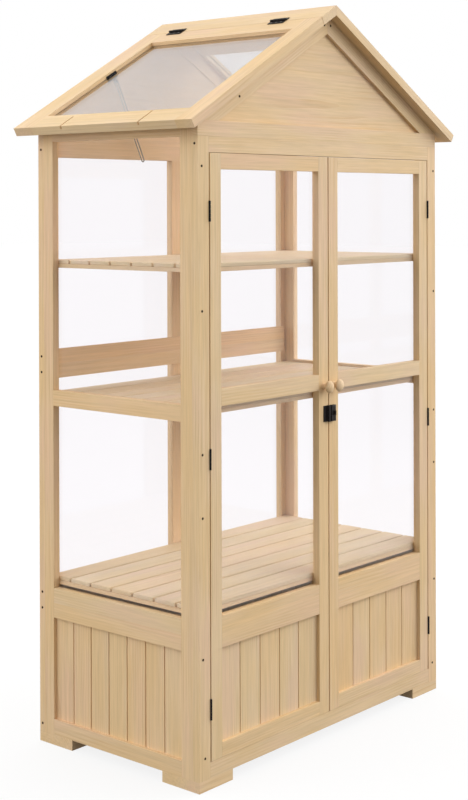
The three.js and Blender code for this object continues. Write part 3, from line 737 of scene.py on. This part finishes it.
for side, outward in (("left", -1), ("right", 1)):
    low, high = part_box(side + "_side_frame")
    outer = low[X] if outward < 0 else high[X]
    inner = outer - outward * TIMBER
    low[X], high[X] = min(outer, inner), max(outer, inner)
    windows = ("_side_panel", "_pane_lower", "_pane_upper")
    openings = [opening(side + window) for window in windows]
    boards = glued_frame(low, high, Y, openings, split=True)
    for shelf in ("shelf_bottom", "shelf_middle", "shelf_upper"):
        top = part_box(shelf)[1][Z] - SLAT_THICKNESS
        reach = inner - outward * LEDGER_WIDTH
        start = Vector((min(inner, reach), low[Y], top - LEDGER_TALL))
        end = Vector((max(inner, reach), high[Y], top))
        boards.append(board(start, end, Y))
    finish(join(boards), side + "_side_rails", "cabinet", PINE, "pine", side + "_side_frame")
    panel = matchboards(side + "_side_panel", Y, SIDE_BOARDS)
    finish(panel, side + "_side_matchboard", "cabinet", PINE, "pine", side + "_side_panel")
    print(side, "side from", low, "to", high)

# %% [markdown]
# ## Back
# The back is seen only through the panes. It could be left as plain CAD solids there,
# but it shows in other views. So it is made like a side, and its middle post and brace
# boards are single boards that were sawn above.

# %% Back
BACK_BOARDS = 15
low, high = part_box("back_frame")
windows = [opening("back_panel"), opening("back_pane_left", "back_pane_right")]
boards = glued_frame(low, high, X, windows)
finish(join(boards), "back_rails", "cabinet", PINE, "pine", "back_frame")
panel = matchboards("back_panel", X, BACK_BOARDS)
finish(panel, "back_matchboard", "cabinet", PINE, "pine", "back_panel")
print("back from", low, "to", high)

# %% [markdown]
# ## Shelves
# Seven slats lie on cross battens, with gaps that let water through. Their count and
# the gaps come from the lines seen through the panes. Their edges are eased more than
# the other boards', as that is what draws the pale line beside each dark gap.

# %% Shelves
SLATS = 7
SLAT_GAP = 5 * MM
SLAT_EDGE = 1.4 * MM
SLAT_TONE = 2.6
BATTEN_WIDTH = 20 * MM

for level in ("bottom", "middle", "upper"):
    low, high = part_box("shelf_" + level)
    underside = high[Z] - SLAT_THICKNESS
    step = (high[Y] - low[Y] + SLAT_GAP) / SLATS
    boards = []
    for index in range(SLATS):
        front = low[Y] + step * index
        start = Vector((low[X], front, underside))
        end = (high[X], front + step - SLAT_GAP, high[Z])
        boards.append(board(start, end, X, edge=SLAT_EDGE, seam=0, paler=SLAT_TONE))
    inset = LEDGER_WIDTH
    for left in (low[X] + inset, -BATTEN_WIDTH / 2, high[X] - inset - BATTEN_WIDTH):
        start = Vector((left, low[Y], low[Z]))
        boards.append(board(start, (left + BATTEN_WIDTH, high[Y], underside), Y))
    gaps = (
        (low[X] + inset + BATTEN_WIDTH, -BATTEN_WIDTH / 2),
        (BATTEN_WIDTH / 2, high[X] - inset - BATTEN_WIDTH),
    )
    for front in (low[Y], high[Y] - BATTEN_WIDTH):
        for left, right in gaps:
            start = Vector((left, front, low[Z]))
            boards.append(board(start, (right, front + BATTEN_WIDTH, underside), X))
    name = "shelf_" + level
    finish(join(boards), name + "_slats", "cabinet", PINE, "pine", name)
    print(name, "slat width", in_mm(step - SLAT_GAP))

# %% [markdown]
# ## Doors
# Each door is a glued frame with two panes above a boarded panel. A copy of one side
# would be too wide, so it is made anew with the same two helpers. Its boards ride on
# the door's own body, so that it swings as one.

# %% Doors
DOOR_BOARDS = 5

for side in ("left", "right"):
    door = side + "_door"
    low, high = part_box(door + "_frame")
    openings = [opening(door + part) for part in ("_panel", "_pane_lower", "_pane_upper")]
    boards = glued_frame(low, high, X, openings)
    finish(join(boards), door + "_rails", door, PINE, "pine", door + "_frame")
    panel = matchboards(door + "_panel", X, DOOR_BOARDS)
    finish(panel, door + "_matchboard", door, PINE, "pine", door + "_panel")
    print(door, "width", in_mm(high[X] - low[X]))

# %% [markdown]
# ## Knobs
# The knobs are turned from the same pine, on a narrow neck. A scaled sphere would miss
# the neck, so half of the outline is drawn and spun round the knob's axis, as a lathe
# does.

# %% The knob's outline
KNOB_CAP = 13 * MM
KNOB_NECK = 5.5 * MM
# The neck flares at the door: heights from it, and shares of the neck's radius.
NECK_FLARE = ((0, 1.25), (1.2 * MM, 1.05), (3 * MM, 1))
KNOB_STEPS = 12


def knob_profile(radius, length):
    """Half of the knob's outline as radius and height, from the door to the top."""
    middle = length - KNOB_CAP / 2
    points = [(0, 0)] + [(KNOB_NECK * share, height) for height, share in NECK_FLARE]
    start = math.asin(KNOB_NECK / radius)
    for index in range(KNOB_STEPS + 1):
        angle = start + (math.pi - start) * index / KNOB_STEPS
        height = middle - KNOB_CAP / 2 * math.cos(angle)
        points.append((max(radius * math.sin(angle), 0), height))
    points[-1] = (0, length)
    return points


low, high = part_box("left_door_knob")
knob_outline = knob_profile((high[X] - low[X]) / 2, high[Y] - low[Y])
print("outline of", len(knob_outline), "points")

# %% Turned knobs
KNOB_TURNS = 40
KNOB_MERGE = 0.01 * MM
KNOB_SMOOTH = math.radians(50)

for side in ("left", "right"):
    low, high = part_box(side + "_door_knob")
    middle = (low + high) / 2
    mesh = bpy.data.meshes.new("knob")
    points = [(middle[X] + r, high[Y] - h, middle[Z]) for r, h in knob_outline]
    mesh.from_pydata(points, [(i, i + 1) for i in range(len(points) - 1)], [])
    knob = bpy.data.objects.new("knob", mesh)
    bpy.context.collection.objects.link(knob)
    select_only(knob)
    edit_all()
    bpy.ops.mesh.spin(steps=KNOB_TURNS, angle=2 * math.pi, center=middle, axis=(0, 1, 0))
    bpy.ops.mesh.select_all(action="SELECT")
    bpy.ops.mesh.remove_doubles(threshold=KNOB_MERGE)
    bpy.ops.mesh.normals_make_consistent(inside=False)
    bpy.ops.object.mode_set(mode="OBJECT")
    bpy.ops.object.shade_smooth_by_angle(angle=KNOB_SMOOTH)
    mark_grain(knob, low, high, Y)
    finish(knob, side + "_door_turned_knob", side + "_door", PINE, "pine", side + "_door_knob")
    print(knob.name, "faces:", len(knob.data.polygons))

# %% [markdown]
# ## Slopes
# The roof's boards lie at an angle. They could be drawn there corner by corner, but then
# each corner needs its own sum. So a board is sawn lying flat at the peak, where its
# sizes are plain, and is then turned down its slope, and its grain turns with it.

# %% Directions of a slope
ROOF_PITCH = math.radians(29.6)
ROOF_THICKNESS = 18 * MM
PEAK = Vector((0, 0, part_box("right_roof_frame")[1][Z]))
SLOPE_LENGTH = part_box("right_roof_frame")[1][X] / math.cos(ROOF_PITCH)


def slope_out(side):
    """The direction square out of the right (1) or the left (-1) slope."""
    return Vector((side * math.sin(ROOF_PITCH), 0, math.cos(ROOF_PITCH)))


def slope_down(side):
    """The direction down that slope."""
    return Vector((side * math.cos(ROOF_PITCH), 0, -math.sin(ROOF_PITCH)))


def slope_point(side, down, depth, level):
    """A point of a slope: down from the ridge, back along it and out of the slope."""
    return PEAK + slope_down(side) * down + slope_out(side) * level + Vector((0, depth, 0))


print("slopes of", in_mm(SLOPE_LENGTH))


# %% Boards laid on a slope
def lay_on_slope(piece, side):
    """Turns a piece that was made flat at the peak down a slope."""
    select_only(piece)
    piece.location = PEAK
    piece.rotation_euler = (0, side * ROOF_PITCH, 0)
    bpy.ops.object.transform_apply(location=True, rotation=True, scale=True)
    return piece


def flat_board(side, down, depth, level, along, cuts=()):
    """A board given by ranges down the slope, along the ridge and out of the slope."""
    near, far = sorted((side * down[0], side * down[1]))
    return board((near, depth[0], level[0]), (far, depth[1], level[1]), along, cuts)


def plumb_cut(side):
    """The upright middle plane, as it lies in a slope's flat frame."""
    lost = Vector((-side * math.cos(ROOF_PITCH), 0, -math.sin(ROOF_PITCH)))
    return Vector((0, 0, 0)), lost


def level_cut(side, height):
    """A level plane at a height above the ground, in a slope's flat frame."""
    down = Vector((side * math.sin(ROOF_PITCH), 0, -math.cos(ROOF_PITCH)))
    return down * (PEAK[Z] - height), down


def slope_cuts(level):
    """Both slopes as cuts, at a level out of the slope."""
    return [(PEAK + slope_out(side) * level, slope_out(side)) for side in (-1, 1)]


print("peak at", in_mm(PEAK[Z]))

# %% [markdown]
# ## Gables
# The two rakes meet at the peak on a plumb cut and stand on the rail. One triangle with
# a hole would have its grain all one way. So each rake is a straight board that is cut
# at the peak and along the rail, and its grain runs with the slope.

# %% Gable frames and panels
RAIL_HEIGHT = 30 * MM
RAKE_WIDTH = 31 * MM
GABLE_SEAM = 112 * MM
ROOF_GAP = 0.3 * MM
PAST_PEAK = 50 * MM

roof_bottom = -ROOF_THICKNESS - ROOF_GAP
rake = (roof_bottom - RAKE_WIDTH, roof_bottom)
for end in ("front", "back"):
    name = end + "_gable"
    low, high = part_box(name + "_frame")
    rail_top = low[Z] + RAIL_HEIGHT
    boards = []
    for side in (-1, 1):
        cuts = [plumb_cut(side), level_cut(side, rail_top)]
        depth = (low[Y], high[Y])
        rake_board = flat_board(side, (-PAST_PEAK, SLOPE_LENGTH), depth, rake, X, cuts)
        boards.append(lay_on_slope(rake_board, side))
    boards.append(board(low, (high[X], high[Y], rail_top), X, slope_cuts(roof_bottom)))
    finish(join(boards), name + "_rakes", "cabinet", PINE, "pine", name + "_frame")

    low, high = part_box(name + "_panel")
    low[Z] = rail_top - PANEL_LIP
    seam = rail_top + GABLE_SEAM
    sides = slope_cuts(rake[0] + PANEL_LIP)
    lower = board(low, (high[X], high[Y], seam), X, sides)
    upper = board((low[X], low[Y], seam), high, X, sides)
    finish(join([lower, upper]), name + "_boards", "cabinet", PINE, "pine", name + "_panel")
    print(name, "rail top at", in_mm(rail_top))

# %% [markdown]
# ## Roof
# Both slopes are frames round a pane. The rails beside the pane run the whole slope
# and the ridge and eave rails fit between them. On the left the ridge board stays and
# the rest lifts as the lid. Two saw kerfs cross each eave rail. They could be drawn into
# the rail's outline, but a boolean cuts them as a saw does, and the pane's groove too.

# %% Roof sizes and the saw
RIDGE_BOARD = 57 * MM
LID_GAP = 1 * MM
TOP_RAIL = 48 * MM
FRONT_RAIL = 43 * MM
BACK_RAIL = 54 * MM
EAVE_RAIL = 50 * MM
GROOVE = 6 * MM
PANE_LEVEL = (-11.3 * MM, -7.7 * MM)
KERF_WIDTH = 4 * MM
KERF_DEPTH = 7 * MM
# Each kerf's place from the front, and how far it stops short of the pane.
KERFS = ((137 * MM, 0), (350 * MM, 9 * MM))
OVERRUN = 2 * MM


def modify(piece, kind, **settings):
    """Gives a piece a modifier with these settings, and applies it."""
    select_only(piece)
    modifier = piece.modifiers.new(kind, kind)
    for name, value in settings.items():
        setattr(modifier, name, value)
    bpy.ops.object.modifier_apply(modifier=modifier.name)


def cut_away(piece, blade):
    """Cuts a blade's shape out of a piece with a boolean, as a saw does."""
    modify(piece, "BOOLEAN", object=blade, operation="DIFFERENCE")
    bpy.data.objects.remove(blade)


roof_low, roof_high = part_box("right_roof_frame")
roof_level = (-ROOF_THICKNESS, 0)
front, back = roof_low[Y], roof_high[Y]
pane_front, pane_back = front + FRONT_RAIL, back - BACK_RAIL
print("roof pane from", in_mm(pane_front), "to", in_mm(pane_back))


# %% Roof frames
def slope_frame(side, ridge_side, top_rail, cuts):
    """The four rails of a slope, laid down its side, with a groove for the pane."""
    pane_top = ridge_side + top_rail
    pane_bottom = SLOPE_LENGTH - EAVE_RAIL
    whole, between = (ridge_side, SLOPE_LENGTH), (pane_front, pane_back)
    rails = [
        flat_board(side, whole, (front, pane_front), roof_level, X, cuts),
        flat_board(side, whole, (pane_back, back), roof_level, X, cuts),
        flat_board(side, (ridge_side, pane_top), between, roof_level, Y, cuts),
        flat_board(side, (pane_bottom, SLOPE_LENGTH), between, roof_level, Y),
    ]
    near, far = sorted((side * (pane_top - GROOVE), side * (pane_bottom + GROOVE)))
    start = (near, pane_front - GROOVE, PANE_LEVEL[0])
    end = (far, pane_back + GROOVE, PANE_LEVEL[1])
    for rail in rails:
        cut_away(rail, block(start, end))
    for from_front, short in KERFS:
        start_down = pane_bottom + (short or -OVERRUN)
        near, far = sorted((side * start_down, side * (SLOPE_LENGTH + OVERRUN)))
        middle = front + from_front
        start = (near, middle - KERF_WIDTH / 2, -KERF_DEPTH)
        end = (far, middle + KERF_WIDTH / 2, KERF_DEPTH)
        cut_away(rails[-1], block(start, end))
    return lay_on_slope(join(rails), side)


right_rails = slope_frame(1, 0, RIDGE_BOARD + LID_GAP + TOP_RAIL, [plumb_cut(1)])
finish(right_rails, "right_roof_rails", "cabinet", PINE, "pine", "right_roof_frame")
ridge = flat_board(-1, (0, RIDGE_BOARD), (front, back), roof_level, Y, [plumb_cut(-1)])
lay_on_slope(ridge, -1)
finish(ridge, "ridge_top_board", "cabinet", PINE, "pine", "ridge_board")
lid_rails = slope_frame(-1, RIDGE_BOARD + LID_GAP, TOP_RAIL, [])
finish(lid_rails, "lid_rails", "lid", PINE, "pine", "lid_frame")
print("lid rails faces:", len(lid_rails.data.polygons))

# %% [markdown]
# ## Black steel hardware
# The latch and the roof hinges are pressed steel. They could be built anew, but the CAD
# solids have the right shape and only lack soft edges. So a copy of each is merged, its
# flat faces are joined, and its edges are rounded, so that they catch the light.

# %% Eased copies of the metal solids
METAL_EDGE = 0.25 * MM
METAL_MERGE = 0.005 * MM
METAL_FLAT = math.radians(1)
METAL_SMOOTH = math.radians(35)


def eased_copy(node):
    """A copy of a CAD solid with its sharp edges rounded."""
    piece = frame["nodes"][node].copy()
    piece.data = piece.data.copy()
    piece.parent = None
    piece.matrix_world = Matrix.Identity(4)
    for key in list(piece.keys()):
        del piece[key]
    bpy.context.collection.objects.link(piece)
    select_only(piece)
    edit_all()
    bpy.ops.mesh.remove_doubles(threshold=METAL_MERGE)
    bpy.ops.mesh.dissolve_limited(angle_limit=METAL_FLAT)
    modify(piece, "BEVEL", width=METAL_EDGE, segments=2, limit_method="ANGLE")
    bpy.ops.object.shade_smooth_by_angle(angle=METAL_SMOOTH)
    return piece


metal_bodies = {
    "latch_housing": "right_door",
    "latch_bolt": "bolt",
    "latch_keeper": "left_door",
    "lid_hinge_front_fixed_leaf": "cabinet",
    "lid_hinge_back_fixed_leaf": "cabinet",
    "lid_hinge_front_moving_leaf": "lid",
    "lid_hinge_back_moving_leaf": "lid",
    "stay_bracket": "lid",
}
for node, body in metal_bodies.items():
    finish(eased_copy(node), node + "_steel", body, BLACK_STEEL, "black_steel", node)
print("metal pieces:", len(metal_bodies))

# %% [markdown]
# ## Door hinges
# A butt hinge is two leaves folded face to face in the gap, and a barrel whose
# knuckles belong to the leaves in turn. One solid would do for shut doors, but its leaves
# couldn't part. So the odd knuckles and one leaf stay on the post, and the even ones go
# with the door.

# %% Rods and plates
ROD_EDGE = 0.3 * MM
ROD_SIDES = 24
ROD_RIM_ANGLE = math.radians(60)
PLATE_EDGE = 0.2 * MM


def rod(start, end, radius):
    """A round bar between two points, with its ends eased."""
    start, end = Vector(start), Vector(end)
    deselect()
    bpy.ops.mesh.primitive_cylinder_add(
        vertices=ROD_SIDES,
        radius=radius,
        depth=(end - start).length,
        location=(start + end) / 2,
        rotation=(end - start).to_track_quat("Z", "Y").to_euler(),
    )
    piece = bpy.context.object
    bpy.ops.object.transform_apply(location=True, rotation=True, scale=True)
    limit = {"limit_method": "ANGLE", "angle_limit": ROD_RIM_ANGLE}
    modify(piece, "BEVEL", width=ROD_EDGE, segments=2, **limit)
    bpy.ops.object.shade_smooth_by_angle(angle=METAL_SMOOTH)
    return piece


def plate(low, high):
    """A thin metal plate with eased edges."""
    piece = block(low, high)
    edit_all()
    bpy.ops.mesh.bevel(offset=PLATE_EDGE, segments=2, affect="EDGES")
    bpy.ops.object.mode_set(mode="OBJECT")
    return piece


print("rods of", ROD_SIDES, "sides")

# %% Door hinges
LEAF_THICKNESS = 0.8 * MM
DOOR_GAP = 3 * MM
KNUCKLES = 5
KNUCKLE_GAP = 0.5 * MM
PIN_SHARE = 0.55

joints = {joint["name"]: joint for joint in frame["joints"]}


def door_hinge(side, inward, level):
    """Both halves of one hinge. inward points from its post to its door."""
    node = side + "_door_hinge_" + level
    low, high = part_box(node)
    pin_x, pin_y = joints[side + "_door_hinge"]["pos_m"][:2]
    radius = (high[X] - low[X]) / 2
    step = (high[Z] - low[Z]) / KNUCKLES
    halves = {"post": [], "door": []}
    for index in range(KNUCKLES):
        bottom = low[Z] + step * index + KNUCKLE_GAP / 2
        top = low[Z] + step * (index + 1) - KNUCKLE_GAP / 2
        owner = "post" if index % 2 == 0 else "door"
        halves[owner].append(rod((pin_x, pin_y, bottom), (pin_x, pin_y, top), radius))
    pin = rod((pin_x, pin_y, low[Z]), (pin_x, pin_y, high[Z]), radius * PIN_SHARE)
    halves["post"].append(pin)
    post_edge = pin_x - inward * DOOR_GAP / 2
    door_edge = post_edge + inward * (DOOR_GAP - LEAF_THICKNESS)
    for owner, edge in (("post", post_edge), ("door", door_edge)):
        near, far = sorted((edge, edge + inward * LEAF_THICKNESS))
        halves[owner].append(plate((near, pin_y, low[Z]), (far, high[Y], high[Z])))
    post_half, door_half = join(halves["post"]), join(halves["door"])
    finish(post_half, node + "_post_leaf", "cabinet", BLACK_STEEL, "black_steel", node)
    finish(door_half, node + "_door_leaf", side + "_door", BLACK_STEEL, "black_steel")
    return radius


for side, inward in (("left", 1), ("right", -1)):
    for level in ("top", "middle", "bottom"):
        barrel = door_hinge(side, inward, level)
    print(side, "hinges, barrel radius", in_mm(barrel))

# %% [markdown]
# ## The stay
# One length of wire is bent into a long narrow loop, and its upper bend swings on the
# bracket's rivet. Two rods and two arcs would need four joints. A closed curve follows
# the whole path and gets the wire's thickness, and it is then made a mesh.

# %% The wire's path
WIRE = 2.6 * MM
STAY_WIDTH = 9.6 * MM
STAY_LENGTH = 193.5 * MM
STAY_TURN = math.radians(3.8)
BEND_STEPS = 14

stay_low, stay_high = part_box("lid_stay")
pivot = Vector(joints["stay_pivot"]["pos_m"])
pivot[Y] = (stay_low[Y] + stay_high[Y]) / 2
out, down = slope_out(-1), slope_down(-1)
hang = down * math.sin(STAY_TURN) - out * math.cos(STAY_TURN)
across = down * math.cos(STAY_TURN) + out * math.sin(STAY_TURN)
half = (STAY_WIDTH - WIRE) / 2
path = []
for drop, first in ((0, 0), (STAY_LENGTH - STAY_WIDTH, math.pi)):
    for index in range(BEND_STEPS + 1):
        angle = first + math.pi * index / BEND_STEPS
        sideways = across * (half * math.cos(angle))
        path.append(pivot + sideways + hang * (drop - half * math.sin(angle)))
print("stay path of", len(path), "points")

# %% Wire stay
curve = bpy.data.curves.new("stay_wire", "CURVE")
curve.dimensions = "3D"
curve.bevel_depth = WIRE / 2
curve.bevel_resolution = 4
spline = curve.splines.new("POLY")
spline.points.add(len(path) - 1)
spline.use_cyclic_u = True
for point, place in zip(spline.points, path):
    point.co = (*place, 1)
stay = bpy.data.objects.new("stay_wire", curve)
bpy.context.collection.objects.link(stay)
select_only(stay)
bpy.ops.object.convert(target="MESH")
stay = bpy.context.object
bpy.ops.object.shade_smooth_by_angle(angle=METAL_SMOOTH)
finish(stay, "lid_stay_wire", "stay", ZINC_WIRE, "zinc_wire", "lid_stay")
print("stay from", stay_low, "to", stay_high)

# %% [markdown]
# ## Screws
# Small screws hold the rails. Their heads are dark brown, which also paints the shade of
# the holes they sit sunk in. Painted dots would do from afar, but the exported shapes
# would lack them. So one screw is modelled with its cross recess, and copies of its mesh
# are turned to face out of the wood.

# %% One screw
SCREW_RADIUS = 2.5 * MM
SCREW_STAND = 0.3 * MM
SCREW_SIDES = 20
RECESS_LENGTH, RECESS_WIDTH = SCREW_RADIUS * 1.3, SCREW_RADIUS * 0.3


def model_screw():
    """A screw's head, standing a little proud, with a cross cut into it."""
    deselect()
    bpy.ops.mesh.primitive_cylinder_add(
        vertices=SCREW_SIDES, radius=SCREW_RADIUS, depth=2 * SCREW_STAND
    )
    head = bpy.context.object
    for turn in (0, math.pi / 2):
        deselect()
        bpy.ops.mesh.primitive_cube_add(size=1, location=(0, 0, SCREW_STAND))
        blade = bpy.context.object
        blade.scale = (RECESS_LENGTH, RECESS_WIDTH, SCREW_STAND)
        blade.rotation_euler = (0, 0, turn)
        bpy.ops.object.transform_apply(location=True, rotation=True, scale=True)
        cut_away(head, blade)
    return head


screw = model_screw()


def place_screws(name, body, places, size=1.0, material=SCREW_AND_HOLE_SHADE):
    """Copies of the screw at each place, facing its direction, joined into one piece."""
    copies = []
    for place, facing in places:
        copy = screw.copy()
        copy.data = screw.data.copy()
        turn = Vector(facing).to_track_quat("Z", "Y").to_matrix().to_4x4()
        copy.data.transform(Matrix.Translation(Vector(place)) @ turn @ Matrix.Scale(size, 4))
        bpy.context.collection.objects.link(copy)
        copies.append(copy)
    print(name, len(copies))
    return finish(join(copies), name, body, material, "black_steel")


print("screw faces:", len(screw.data.polygons))

# %% Screws of the cabinet
# Heights of the screws in the front posts, in the feet, and beside the back.
POST_SCREWS = (1.165, 0.895, 0.628, 0.510, 0.247)
RIGHT_HIGHER = 2.5 * MM
FOOT_SCREW = 0.062
BACK_SCREWS = (1.206, 0.785, 0.753, 0.305, 0.273, 0.037)
TOP_RAIL_SCREW = 1.207
LEFT_INSET, RIGHT_INSET, FOOT_INSET = 11 * MM, 8 * MM, 16 * MM
EDGE_INSET = 8 * MM
GABLE_SCREWS = ((-0.011, 1.460), (0.010, 1.460), (-0.279, 1.300))
FORWARD, BACKWARD = (0, -1, 0), (0, 1, 0)

left_face, front_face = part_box("front_post_left")[0][:2]
right_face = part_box("front_post_right")[1][X]
back_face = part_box("back_frame")[1][Y]
places = []
for height in POST_SCREWS:
    places.append(((left_face + LEFT_INSET, front_face, height), FORWARD))
    places.append(((right_face - RIGHT_INSET, front_face, height + RIGHT_HIGHER), FORWARD))
for face, inward in ((left_face, 1), (right_face, -1)):
    places.append(((face + inward * FOOT_INSET, front_face, FOOT_SCREW), FORWARD))
    for height in BACK_SCREWS:
        places.append(((face, back_face - EDGE_INSET, height), (-inward, 0, 0)))
        places.append(((face + inward * LEFT_INSET, back_face, height), BACKWARD))
    places.append(((face, front_face + EDGE_INSET, TOP_RAIL_SCREW), (-inward, 0, 0)))
gable_front, gable_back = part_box("front_gable_frame")[0][Y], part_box("back_gable_frame")[1][Y]
for place_x, place_z in GABLE_SCREWS:
    places.append(((place_x, gable_front, place_z), FORWARD))
    places.append(((place_x, gable_back, place_z), BACKWARD))
print("screw places on the cabinet:", len(places))

# %% Screws of the roof
# Places down each slope, in the middle of the rails' ends.
LID_SCREWS = (0.075, 0.478)
RIGHT_ROOF_SCREWS = (0.089, 0.480)
VERGE_SUNK = 0.35 * MM

lid_places = []
for end_y, facing in ((front + VERGE_SUNK, FORWARD), (back - VERGE_SUNK, BACKWARD)):
    for down in LID_SCREWS:
        lid_places.append((slope_point(-1, down, end_y, -ROOF_THICKNESS / 2), facing))
    for down in RIGHT_ROOF_SCREWS:
        places.append((slope_point(1, down, end_y, -ROOF_THICKNESS / 2), facing))
place_screws("cabinet_screws", "cabinet", places)
place_screws("lid_screws", "lid", lid_places)

# %% Screws of the roof hinges
LEAF_TOP = 1.5 * MM
HINGE_SCREWS = (-13 * MM, 0, 13 * MM)
LEAF_MIDDLE = 8.3 * MM
HINGE_SCREW_SIZE = 0.8

pin_down = RIDGE_BOARD + LID_GAP / 2
for leaf, body, toward in (("fixed", "cabinet", -1), ("moving", "lid", 1)):
    places = []
    for end in ("front", "back"):
        low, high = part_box("lid_hinge_" + end + "_fixed_leaf")
        for shift in HINGE_SCREWS:
            depth = (low[Y] + high[Y]) / 2 + shift
            down = pin_down + toward * LEAF_MIDDLE
            places.append((slope_point(-1, down, depth, LEAF_TOP), slope_out(-1)))
    place_screws("lid_hinge_" + leaf + "_screws", body, places, HINGE_SCREW_SIZE, ZINC_WIRE)

# %% Screws of the latch
KEEPER_INSET = 5 * MM
KEEPER_STAND = 1.5 * MM
KEEPER_SCREWS = (0.18, 0.46, 0.74)
KEEPER_SCREW_SIZE = 0.7

low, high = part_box("latch_keeper")
keeper_x, keeper_y = low[X] + KEEPER_INSET, front_face - KEEPER_STAND
heights = [low[Z] + (high[Z] - low[Z]) * share for share in KEEPER_SCREWS]
keeper = [((keeper_x, keeper_y, height), FORWARD) for height in heights]
place_screws("latch_keeper_screws", "left_door", keeper, KEEPER_SCREW_SIZE, BLACK_STEEL)
bpy.data.objects.remove(screw)
